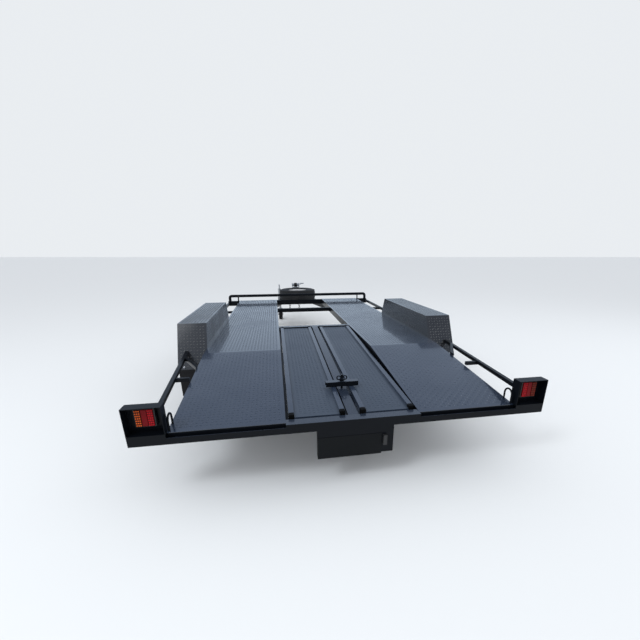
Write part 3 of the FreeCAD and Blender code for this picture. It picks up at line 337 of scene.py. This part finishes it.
def tread_field(name, corner, along_u, along_v, wide, long, body):
    """Lay bars over a plate from its corner, in its own two directions."""
    u, v = Vector(along_u).normalized(), Vector(along_v).normalized()
    first = make_bar(0, 0, math.radians(45))
    others = [make_bar(PITCH, 0, math.radians(-45)), make_bar(0, PITCH, math.radians(-45)),
              make_bar(PITCH, PITCH, math.radians(45))]
    deselect()
    for bar in [first] + others:
        bar.select_set(True)
    bpy.context.view_layer.objects.active = first
    bpy.ops.object.transform_apply(location=True, rotation=True, scale=True)
    bpy.ops.object.join()
    columns = max(1, int((wide - 0.012) / (2 * PITCH)))
    rows = max(1, int((long - 0.012) / (2 * PITCH)))
    array(first, (1, 0, 0), columns, 2 * PITCH)
    array(first, (0, 1, 0), rows, 2 * PITCH)
    edge_u = (wide - (2 * columns - 1) * PITCH) / 2
    edge_v = (long - (2 * rows - 1) * PITCH) / 2
    normal = u.cross(v)
    start = Vector(corner) + u * edge_u + v * edge_v
    first.matrix_world = Matrix((
        (u.x, v.x, normal.x, start.x),
        (u.y, v.y, normal.y, start.y),
        (u.z, v.z, normal.z, start.z),
        (0, 0, 0, 1)))
    piece = settle(first, name, body, "tread_plate")
    print(name, columns * 2, "by", rows * 2, "bars")
    return piece


# %% [markdown]
# The fold line of the deck, its rear edge and the track edges come from the CAD
# plates, and every field of bars starts from those corners.

# %% Bars on the decks, ramps and mudguards
(DL0, DL1), (DR0, DR1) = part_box("deck_left"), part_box("deck_right")
GAUGE = 0.003
TAIL_LENGTH = 1.080
TAIL_DROP = DL1[2] - DL0[2] - GAUGE
FOLD = REAR_EDGE + TAIL_LENGTH
for side, (low, high) in {"left": (DL0, DL1), "right": (DR0, DR1)}.items():
    wide = high[0] - low[0]
    tail_run = math.hypot(TAIL_LENGTH, TAIL_DROP)
    tread_field(f"tread_tail_{side}", (low[0], REAR_EDGE, DECK_TOP - TAIL_DROP), (1, 0, 0),
                (0, TAIL_LENGTH, TAIL_DROP), wide, tail_run, CHASSIS)
    tread_field(f"tread_flat_{side}", (low[0], FOLD, DECK_TOP), (1, 0, 0), (0, 1, 0),
                wide, high[1] - FOLD, CHASSIS)

RAIL, RECESS, RAMP_DEPTH = 0.030, 0.016, 0.050
for side in ("left", "right"):
    low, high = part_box(f"ramp_{side}")
    climb = high[2] - low[2] - RAMP_DEPTH
    tread_field(f"tread_ramp_{side}", (low[0] + RAIL, low[1], low[2] + RAMP_DEPTH - RECESS), (1, 0, 0),
                (0, high[1] - low[1], climb), high[0] - low[0] - 2 * RAIL,
                math.hypot(high[1] - low[1], climb), CHASSIS)

# The panels between the ramp rails are duller than the rails.
FINISH["ramp_panel"] = finish_of("ramp_panel", (0.034, 0.047, 0.070), (0.06, 0.078, 0.11), 0.5, 2.5, 0.28, shine=0.5)
for side in ("left", "right"):
    low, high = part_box(f"ramp_{side}")
    ramp = bpy.data.objects[f"ramp_{side}"]
    ramp.data.materials.append(FINISH["ramp_panel"])
    for face in ramp.data.polygons:
        if face.normal.z > 0.9 and low[0] + RAIL < face.center.x < high[0] - RAIL:
            face.material_index = 1
    bpy.data.objects[f"tread_ramp_{side}"].data.materials[0] = FINISH["ramp_panel"]

# The mudguards are greyer than the deck. The bars on their sloped rear and front faces are painted brighter: a painted
# highlight of the light on those faces.
FINISH["guard_paint"] = finish_of("guard_paint", (0.014, 0.015, 0.018), (0.035, 0.036, 0.040), 0.5, 2.2, 0.2, coat=0.4)
FINISH["painted_highlight_bar"] = finish_of("painted_highlight_bar", (0.055, 0.056, 0.058), (0.12, 0.118, 0.112), 0.7, 8, 0.28)
GUARD_RUN = 0.184
for side, sign in (("left", -1), ("right", 1)):
    low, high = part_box(f"mudguard_{side}")
    wide = high[0] - low[0]
    top, foot = high[2], low[2]
    flat = high[1] - low[1] - 2 * GUARD_RUN
    slope = math.hypot(GUARD_RUN, top - foot)
    inner = high[0] if sign < 0 else low[0]
    bpy.data.objects[f"mudguard_{side}"].data.materials[0] = FINISH["guard_paint"]
    tread_field(f"tread_guard_top_{side}", (low[0], low[1] + GUARD_RUN, top), (1, 0, 0), (0, 1, 0),
                wide, flat, CHASSIS)
    tread_field(f"tread_guard_rear_{side}", (low[0], low[1], foot), (1, 0, 0), (0, GUARD_RUN, top - foot),
                wide, slope, CHASSIS)
    tread_field(f"tread_guard_front_{side}", (high[0], high[1], foot), (-1, 0, 0),
                (0, -GUARD_RUN, top - foot), wide, slope, CHASSIS)
    start = low[1] + GUARD_RUN if sign < 0 else high[1] - GUARD_RUN
    tread_field(f"tread_guard_side_{side}", (inner, start, DECK_TOP), (0, -sign, 0), (0, 0, 1),
                flat, top - DECK_TOP, CHASSIS)
    # The bars on the rear and front slopes get the painted highlight; the top and side bars keep the guard paint.
    for part, finish in (("top", "guard_paint"), ("rear", "painted_highlight_bar"), ("front", "painted_highlight_bar"), ("side", "guard_paint")):
        bpy.data.objects[f"tread_guard_{part}_{side}"].data.materials[0] = FINISH[finish]

# %% [markdown]
# A road tyre is a turned shell with ribs and blocks cut into its tread. The
# outline of half the shell is spun about the axle, and one row of blocks is
# modelled, copied round the rim and joined to the shell.

# %% Tyres
TYRE_RADIUS = 0.325
TREAD_DEPTH = 0.007
BLOCKS_ROUND = 56
SECTION = ((0.058, 0.1785), (0.066, 0.186), (0.071, 0.193), (0.084, 0.214), (0.0915, 0.240), (0.0925, 0.262),
           (0.089, 0.285), (0.082, 0.302), (0.076, 0.311), (0.064, 0.3165), (0.045, 0.318), (0.0, 0.318))
BLOCK_ROWS = ((-0.066, 0.024, 0.0), (-0.034, 0.022, 0.5), (0.0, 0.024, 0.0), (0.034, 0.022, 0.5), (0.066, 0.024, 0.0))


def spun(name, outline, steps):
    """Spin an (across, radius) outline about the X axis into a closed shell."""
    deselect()
    mesh = bpy.data.meshes.new(name)
    mesh.from_pydata([(x, 0, r) for x, r in outline], [(i, i + 1) for i in range(len(outline) - 1)], [])
    shell = bpy.data.objects.new(name, mesh)
    bpy.context.collection.objects.link(shell)
    shell.select_set(True)
    bpy.context.view_layer.objects.active = shell
    bpy.ops.object.mode_set(mode="EDIT")
    bpy.ops.mesh.select_all(action="SELECT")
    bpy.ops.mesh.spin(steps=steps, angle=math.tau, center=(0, 0, 0), axis=(1, 0, 0))
    bpy.ops.mesh.select_all(action="SELECT")
    bpy.ops.mesh.remove_doubles(threshold=0.00005)
    bpy.ops.mesh.normals_make_consistent(inside=False)
    bpy.ops.object.mode_set(mode="OBJECT")
    return shell


def block(name, low, high, bevel=0.0, segments=2):
    """A bevelled block between two corners."""
    deselect()
    centre = [(a + b) / 2 for a, b in zip(low, high)]
    bpy.ops.mesh.primitive_cube_add(size=1, location=centre)
    made = bpy.context.object
    made.name = name
    made.dimensions = [abs(b - a) for a, b in zip(low, high)]
    bpy.ops.object.transform_apply(location=True, rotation=False, scale=True)
    if bevel:
        bpy.ops.object.mode_set(mode="EDIT")
        bpy.ops.mesh.select_all(action="SELECT")
        bpy.ops.mesh.bevel(offset=bevel, segments=segments, affect="EDGES")
        bpy.ops.object.mode_set(mode="OBJECT")
    return made


def joined(parts):
    deselect()
    for part in parts:
        part.select_set(True)
    bpy.context.view_layer.objects.active = parts[0]
    bpy.ops.object.join()
    return parts[0]


def make_tyre():
    """A tyre centred on the origin with its axle along X."""
    outline = list(SECTION) + [(-x, r) for x, r in reversed(SECTION[:-1])]
    inner = [(-0.040, 0.1785), (-0.046, 0.20), (-0.076, 0.25), (-0.066, 0.30), (0.066, 0.30), (0.076, 0.25),
             (0.046, 0.20), (0.040, 0.1785)]
    shell = spun("tyre", outline + inner + [outline[0]], 96)
    bpy.context.view_layer.objects.active = shell
    shell.select_set(True)
    bpy.ops.object.shade_smooth_by_angle(angle=math.radians(35))
    arc = math.tau / BLOCKS_ROUND
    blocks = []
    for across, wide, shift in BLOCK_ROWS:
        reach = TYRE_RADIUS - (0.0055 if abs(across) > 0.05 else 0.0)
        made = block("block", (across - wide / 2, -0.0135, 0.309), (across + wide / 2, 0.0135, reach), 0.0016, 1)
        for step in range(BLOCKS_ROUND):
            copy = made.copy()
            copy.data = made.data.copy()
            bpy.context.collection.objects.link(copy)
            copy.data.transform(Matrix.Rotation(arc * (step + shift), 4, "X"))
            blocks.append(copy)
        bpy.data.objects.remove(made)
    return joined([shell] + blocks)


TYRE = make_tyre()
print("tyre", len(TYRE.data.polygons), "faces")


def place_copy(source, name, matrix, body, slot, node=None):
    copy = source.copy()
    copy.data = source.data.copy()
    bpy.context.collection.objects.link(copy)
    copy.data.transform(matrix)
    settle(copy, name, body, slot)
    if node:
        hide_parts(node)
    return copy


def centre_of(node):
    low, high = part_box(node)
    return Vector([(a + b) / 2 for a, b in zip(low, high)])


WHEELS = [f"{end}_{side}" for end in ("rear", "front") for side in ("left", "right")]
for name in WHEELS:
    spot = Matrix.Translation(centre_of(f"tyre_{name}"))
    place_copy(TYRE, f"tread_tyre_{name}", spot, BODY_OF[f"tyre_{name}"], "tyre_rubber", f"tyre_{name}")
lying = Matrix.Translation(centre_of("spare_tyre")) @ Matrix.Rotation(math.radians(-90), 4, "Y")
place_copy(TYRE, "tread_tyre_spare", lying, CHASSIS, "tyre_rubber", "spare_tyre")
bpy.data.objects.remove(TYRE)

# %% [markdown]
# Six nuts on studs hold each rim on its hub. One hexagonal nut is a six-sided
# cylinder with its outer edge bevelled, and it is copied round the hub.

# %% Wheel nuts and bolts


def nut(name, place, way, radius=0.011, height=0.014):
    deselect()
    bpy.ops.mesh.primitive_cylinder_add(vertices=6, radius=radius, depth=height)
    head = bpy.context.object
    bpy.ops.object.mode_set(mode="EDIT")
    bpy.ops.mesh.select_all(action="SELECT")
    bpy.ops.mesh.bevel(offset=radius * 0.12, segments=1, affect="EDGES")
    bpy.ops.object.mode_set(mode="OBJECT")
    bpy.ops.mesh.primitive_cylinder_add(vertices=16, radius=radius * 0.55, depth=height * 1.5,
                                        location=(0, 0, height * 0.4))
    made = joined([head, bpy.context.object])
    made.data.transform(Matrix.Translation(place) @ Vector(way).to_track_quat("Z", "Y").to_matrix().to_4x4())
    made.name = name
    return made


def nut_ring(name, centre, way, radius, count, body):
    side = Vector(way).orthogonal().normalized()
    nuts = []
    for step in range(count):
        turn = Matrix.Rotation(math.tau * step / count, 4, Vector(way))
        nuts.append(nut("nut", Vector(centre) + turn @ (side * radius), way))
    return settle(joined(nuts), name, body, "zinc")


for name in WHEELS:
    out = 1 if name.endswith("right") else -1
    centre = centre_of(f"tyre_{name}") + Vector((out * 0.021, 0, 0))
    nut_ring(f"wheel_nuts_{name}", centre, (out, 0, 0), 0.068, 6, BODY_OF[f"tyre_{name}"])
top = centre_of("spare_tyre") + Vector((0, 0, 0.049))
settle(nut("spare_nut", top, (0, 0, 1), 0.021, 0.018), "spare_nut", CHASSIS, "zinc")

# %% [markdown]
# Each tail lamp is a black case with three upright lenses: amber with a grid of
# light dots, plain red, and red with dots. The dots are small domes.

# %% Tail lamps


def glow(name, color, strength):
    made = finish_of(name, color, tuple(c * 0.6 for c in color), 0.3, 60, 0.3, shine=0.12)
    shader = made.node_tree.nodes["Principled BSDF"]
    shader.inputs["Emission Color"].default_value = (*color, 1)
    shader.inputs["Emission Strength"].default_value = strength
    return made


FINISH["lens_amber"] = glow("lens_amber", (0.06, 0.006, 0.003), 0.05)
FINISH["lens_red"] = glow("lens_red", (0.13, 0.002, 0.004), 0.1)
FINISH["dot_amber"] = glow("dot_amber", (0.55, 0.10, 0.015), 0.15)
FINISH["dot_dim"] = glow("dot_dim", (0.16, 0.02, 0.008), 0.05)
FINISH["dot_red"] = glow("dot_red", (0.38, 0.008, 0.015), 0.2)


def painted(piece, name, finish, slot="lamp_lens", body=CHASSIS):
    settle(piece, name, body, slot)
    piece.data.materials[0] = FINISH[finish]
    return piece


def dots(columns, rows, low, high, face, radius=0.0042):
    made = []
    for i in range(columns):
        for j in range(rows):
            x = low[0] + (high[0] - low[0]) * (i + 0.5) / columns
            z = low[2] + (high[2] - low[2]) * (j + 0.5) / rows
            deselect()
            bpy.ops.mesh.primitive_uv_sphere_add(segments=12, ring_count=6, radius=radius, location=(x, face, z))
            bpy.context.object.scale = (1, 0.6, 1)
            bpy.ops.object.transform_apply(location=True, rotation=False, scale=True)
            made.append(bpy.context.object)
    return joined(made)


for side, out in (("left", -1), ("right", 1)):
    low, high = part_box(f"tail_lamp_{side}")
    case = block("case", low, high, 0.006, 3)
    case = painted(case, f"lamp_case_{side}", "lamp_case", "lamp_case")
    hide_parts(f"tail_lamp_{side}")
    face = low[1]
    span = high[0] - low[0]
    edges = [low[0] + 0.007 + (span - 0.014) * k / 3 for k in range(4)]
    order = ("lens_amber", "lens_red", "lens_red") if out < 0 else ("lens_red", "lens_red", "lens_amber")
    for k, finish in enumerate(order):
        a = (edges[k] + 0.001, face - 0.007, low[2] + 0.008)
        b = (edges[k + 1] - 0.001, face + 0.004, high[2] - 0.008)
        painted(block("lens", a, b, 0.003, 2), f"lamp_lens_{side}_{k}", finish)
        if k != 1:
            dot = "dot_red"
            if finish == "lens_amber":
                dot = "dot_amber" if out < 0 else "dot_dim"
            painted(dots(3, 7, a, b, face - 0.0072, 0.0036), f"lamp_dots_{side}_{k}", dot)

# %% [markdown]
# Two short chains hang from the nose of the drawbar. A link is a torus whose
# halves are pulled apart, and each link is a quarter turn from the one before.

# %% Safety chains
LINK_STEP = 0.033
LINKS = 8
FINISH["chain_steel"] = finish_of("chain_steel", (0.03, 0.03, 0.032), (0.05, 0.045, 0.04), 0.4, 40, 0.5, metal=0.5)


def chain_link():
    deselect()
    bpy.ops.mesh.primitive_torus_add(major_radius=0.0145, minor_radius=0.0052, major_segments=20, minor_segments=8)
    link = bpy.context.object
    bpy.ops.object.mode_set(mode="EDIT")
    mesh = bmesh.from_edit_mesh(link.data)
    for vert in mesh.verts:
        vert.select = vert.co.x > 0.0001
    mesh.select_flush_mode()
    bmesh.update_edit_mesh(link.data)
    bpy.ops.transform.translate(value=(0.014, 0, 0))
    bpy.ops.object.mode_set(mode="OBJECT")
    link.data.transform(Matrix.Translation((-0.007, 0, 0)))
    bpy.ops.object.shade_smooth()
    return link


(NOSE_LOW, NOSE_HIGH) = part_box("drawbar")
LINK = chain_link()
for side, out in (("left", -1), ("right", 1)):
    links = []
    for step in range(LINKS):
        upright = Matrix.Rotation(math.radians(90), 4, "Y")
        twist = Matrix.Rotation(math.radians(90 * (step % 2)), 4, "Z")
        spot = Matrix.Translation((out * (0.094 + 0.0012 * step), NOSE_HIGH[1] - 0.06, NOSE_LOW[2] + 0.02 - LINK_STEP * step))
        copy = LINK.copy()
        copy.data = LINK.data.copy()
        bpy.context.collection.objects.link(copy)
        copy.data.transform(spot @ twist @ upright)
        links.append(copy)
    chain = settle(joined(links), f"safety_chain_{side}", CHASSIS, "zinc")
    chain.data.materials[0] = FINISH["chain_steel"]
bpy.data.objects.remove(LINK)

# %% [markdown]
# The winch carries a few turns of webbing, black blocks on the ramp rail ends are painted shade for the dark open rail
# ends, and bolts hold the mudflaps to the feet of the mudguards.

# %% Winch strap, ramp ends and bolts
wlow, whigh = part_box("winch_post")
deselect()
bpy.ops.mesh.primitive_cylinder_add(vertices=48, radius=0.037, depth=0.052,
                                    location=((wlow[0] + whigh[0]) / 2, (wlow[1] + whigh[1]) / 2, whigh[2] + 0.046),
                                    rotation=(0, math.pi / 2, 0))
strap = bpy.context.object
bpy.ops.object.mode_set(mode="EDIT")
mesh = bmesh.from_edit_mesh(strap.data)
for part in mesh.faces:
    part.select = abs(part.normal.z) > 0.9
bmesh.update_edit_mesh(strap.data)
bpy.ops.mesh.inset(thickness=0.003)
bpy.ops.transform.resize(value=(1, 1, 0.94))
bpy.ops.object.mode_set(mode="OBJECT")
settle(strap, "winch_strap", CHASSIS, "flap_rubber")

# Black blocks on the rail ends are painted shade, standing for the dark inside of the open rail ends.
FINISH["end_shade_black"] = finish_of("end_shade_black", (0.002, 0.002, 0.002), (0.006, 0.006, 0.006), 0.3, 9, 0.5, shine=0.08)
for side in ("left", "right"):
    low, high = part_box(f"ramp_{side}")
    climb = high[2] - low[2] - RAMP_DEPTH
    for end, y, z in (("rear", low[1], low[2]), ("front", high[1], low[2] + climb)):
        for k, x in enumerate((low[0], high[0] - RAIL)):
            start = y - 0.002 if end == "rear" else y - 0.030
            shade_block = block("shade_block", (x - 0.0012, start, z - 0.001),
                        (x + RAIL + 0.0012, start + 0.034, z + RAMP_DEPTH + 0.0015), 0.003, 2)
            settle(shade_block, f"ramp_cap_{side}_{end}_{k}", CHASSIS, "flap_rubber")
            shade_block.data.materials[0] = FINISH["end_shade_black"]

for side, out in (("left", -1), ("right", 1)):
    low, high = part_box(f"mudguard_{side}")
    bolts = [nut("bolt", (x, low[1] + 0.006, low[2] + 0.020), (0, -1, 0.5), 0.008, 0.006)
             for x in (low[0] + 0.05, high[0] - 0.05)]
    settle(joined(bolts), f"flap_bolts_{side}", CHASSIS, "zinc")
